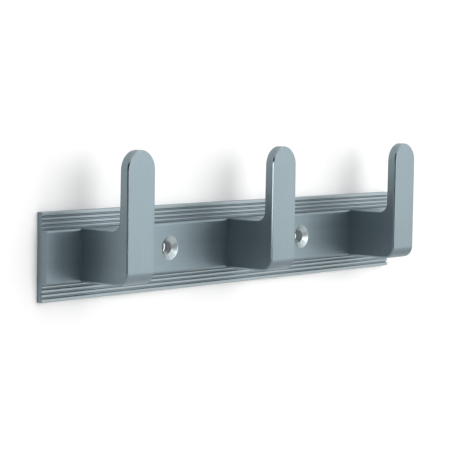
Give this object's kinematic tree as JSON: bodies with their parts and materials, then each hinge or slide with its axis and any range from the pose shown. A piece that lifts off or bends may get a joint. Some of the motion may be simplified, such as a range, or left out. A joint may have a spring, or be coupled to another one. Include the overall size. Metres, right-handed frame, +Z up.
{
  "type": "wall hook rack",
  "caption": "Ribbed metal wall plate with a row of rigid upright coat hooks, screwed to a wall through countersunk holes.",
  "frame": {"origin": "centre of the plate's flat back, which lies on the wall", "axes": "+X along the rack, to the right as seen from the room; +Y into the wall; +Z up"},
  "size_m": [0.26, 0.0345, 0.0678],
  "materials": {
    "plate_metal": "satin, blue-grey anodised",
    "hook_metal": "satin, blue-grey anodised",
    "screw_steel": "bright zinc plated"
  },
  "bodies": {
    "root": {"back_plate": "plate_metal", "hook_left": "hook_metal", "hook_middle": "hook_metal", "hook_right": "hook_metal", "screw_left_upper": "screw_steel", "screw_left_lower": "screw_steel", "screw_middle_upper": "screw_steel", "screw_middle_lower": "screw_steel", "screw_right_upper": "screw_steel", "screw_right_lower": "screw_steel"}
  },
  "joints": []
}
